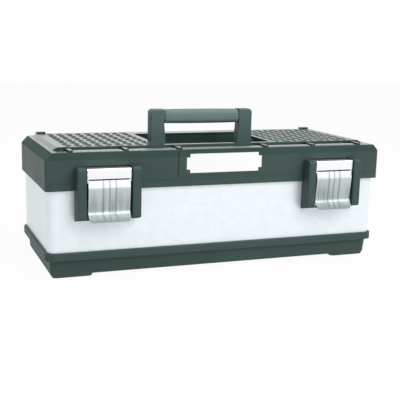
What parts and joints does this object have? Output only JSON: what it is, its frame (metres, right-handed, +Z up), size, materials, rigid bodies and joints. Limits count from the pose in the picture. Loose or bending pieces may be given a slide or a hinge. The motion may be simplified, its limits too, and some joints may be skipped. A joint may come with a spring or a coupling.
{
  "type": "tool box",
  "caption": "Long tool box with a steel wall between moulded base and rim, a hinged moulded lid with folding carrying handle, draw latches and a lift-out tray.",
  "frame": {"origin": "on the floor under the middle of the box's outside", "axes": "+X along the box's length, -Y the side with the latches, +Z up"},
  "size_m": [0.662, 0.2978, 0.288],
  "materials": {
    "charcoal_plastic": "fine moulded texture",
    "tray_plastic": "fine moulded texture",
    "galvanised": "galvanised sheet",
    "bright_steel": "bright plated",
    "grip_rubber": "soft smooth",
    "white_plate": "semi gloss"
  },
  "bodies": {
    "case": {"base_tray": "charcoal_plastic", "steel_wall": "galvanised", "rim_frame": "charcoal_plastic", "seam_rivets": "bright_steel", "latch_bracket_left": "charcoal_plastic", "latch_bracket_right": "charcoal_plastic", "bracket_rivets_left": "bright_steel", "bracket_rivets_right": "bright_steel", "lever_pins_left": "bright_steel", "lever_pins_right": "bright_steel", "hinge_pin_left": "bright_steel", "hinge_pin_right": "bright_steel"},
    "lid": {"lid_shell": "charcoal_plastic", "name_plate": "white_plate", "handle_pin_left": "bright_steel", "handle_pin_right": "bright_steel"},
    "handle": {"handle_frame": "charcoal_plastic", "handle_grip": "grip_rubber"},
    "lever_left": {"latch_lever_left": "bright_steel", "hook_pin_left": "bright_steel"},
    "hook_left": {"hook_plate_left": "bright_steel"},
    "lever_right": {"latch_lever_right": "bright_steel", "hook_pin_right": "bright_steel"},
    "hook_right": {"hook_plate_right": "bright_steel"},
    "tray": {"tote_tray": "tray_plastic"}
  },
  "joints": [
    {"name": "lid_hinge", "type": "hinge", "parent": "case", "child": "lid", "pos_m": [0, 0.14388, 0.159], "axis": [-1, 0, 0], "range_deg": [0, 105]},
    {"name": "handle_fold", "type": "hinge", "parent": "lid", "child": "handle", "pos_m": [0, 0.00738, 0.219], "axis": [1, 0, 0], "range_deg": [-90, 90]},
    {"name": "latch_left", "type": "hinge", "parent": "case", "child": "lever_left", "pos_m": [-0.2225, -0.13362, 0.1879], "axis": [-1, 0, 0], "range_deg": [0, 85]},
    {"name": "hook_left", "type": "hinge", "parent": "lever_left", "child": "hook_left", "pos_m": [-0.2225, -0.13512, 0.1764], "axis": [-1, 0, 0], "range_deg": [-85, 0]},
    {"name": "latch_right", "type": "hinge", "parent": "case", "child": "lever_right", "pos_m": [0.2225, -0.13362, 0.1879], "axis": [-1, 0, 0], "range_deg": [0, 85]},
    {"name": "hook_right", "type": "hinge", "parent": "lever_right", "child": "hook_right", "pos_m": [0.2225, -0.13512, 0.1764], "axis": [-1, 0, 0], "range_deg": [-85, 0]},
    {"name": "tray_lift", "type": "slide", "parent": "case", "child": "tray", "axis": [0, 0, 1], "range_m": [0, 0.02]}
  ],
  "couplings": [
    {"joint": "hook_left", "follows": "latch_left", "ratio": -1},
    {"joint": "hook_right", "follows": "latch_right", "ratio": -1}
  ]
}
